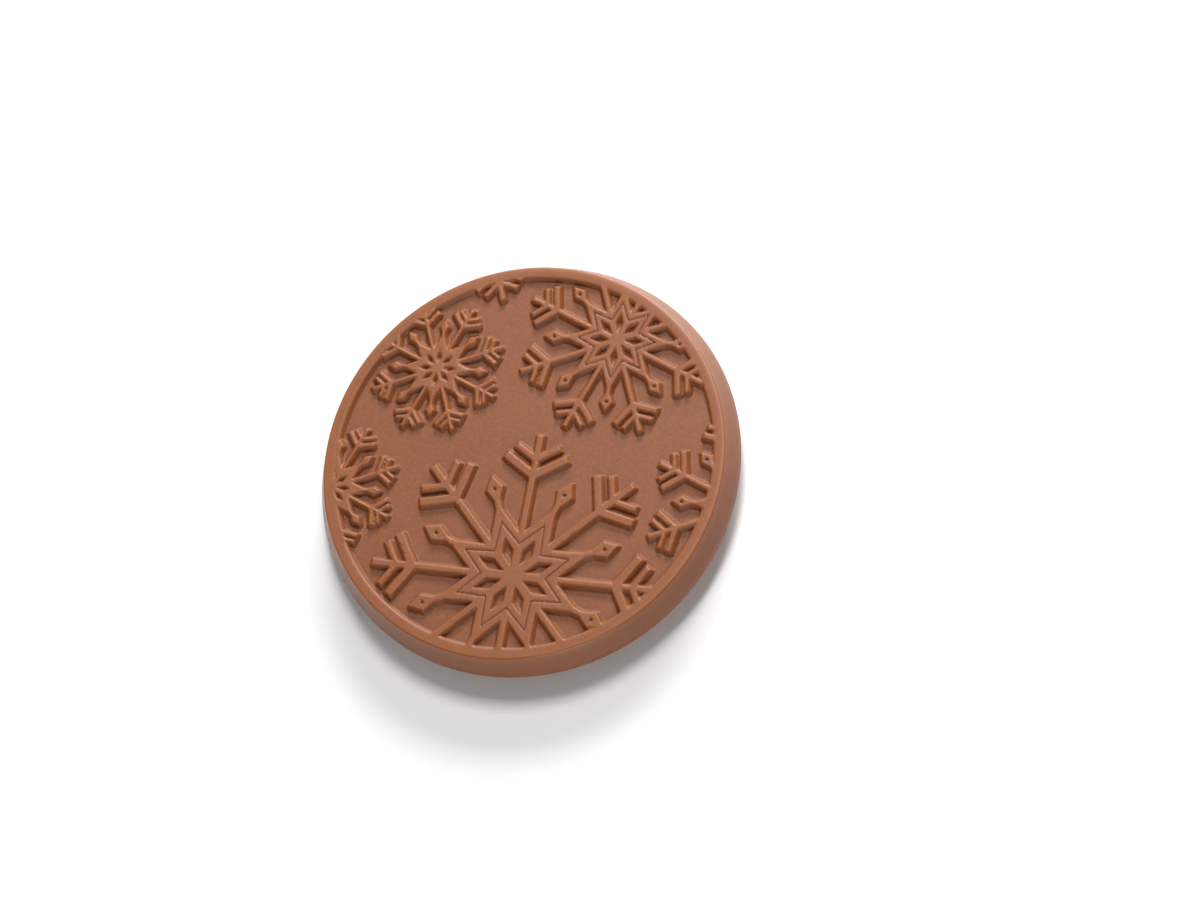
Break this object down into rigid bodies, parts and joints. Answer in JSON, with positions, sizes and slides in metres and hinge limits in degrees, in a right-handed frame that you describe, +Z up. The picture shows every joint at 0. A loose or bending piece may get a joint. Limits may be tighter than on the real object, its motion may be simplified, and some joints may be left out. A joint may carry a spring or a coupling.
{
  "type": "chocolate-topped biscuit",
  "caption": "Round butter biscuit pressed into a moulded milk-chocolate disc, with raised snowflakes inside a smooth rim on its face.",
  "frame": {"origin": "middle of the underside, on the surface that the biscuit side lies on", "axes": "+Z up out of the chocolate face, +X to the right and +Y to the top of the face with the largest snowflake at the bottom"},
  "size_m": [0.0662, 0.0662, 0.0074],
  "materials": {
    "milk_chocolate": "moulded milk chocolate, satin",
    "baked_biscuit": "baked butter biscuit, matt, browner in the grooves"
  },
  "bodies": {
    "root": {"chocolate_disc": "milk_chocolate", "biscuit": "baked_biscuit"}
  },
  "joints": []
}
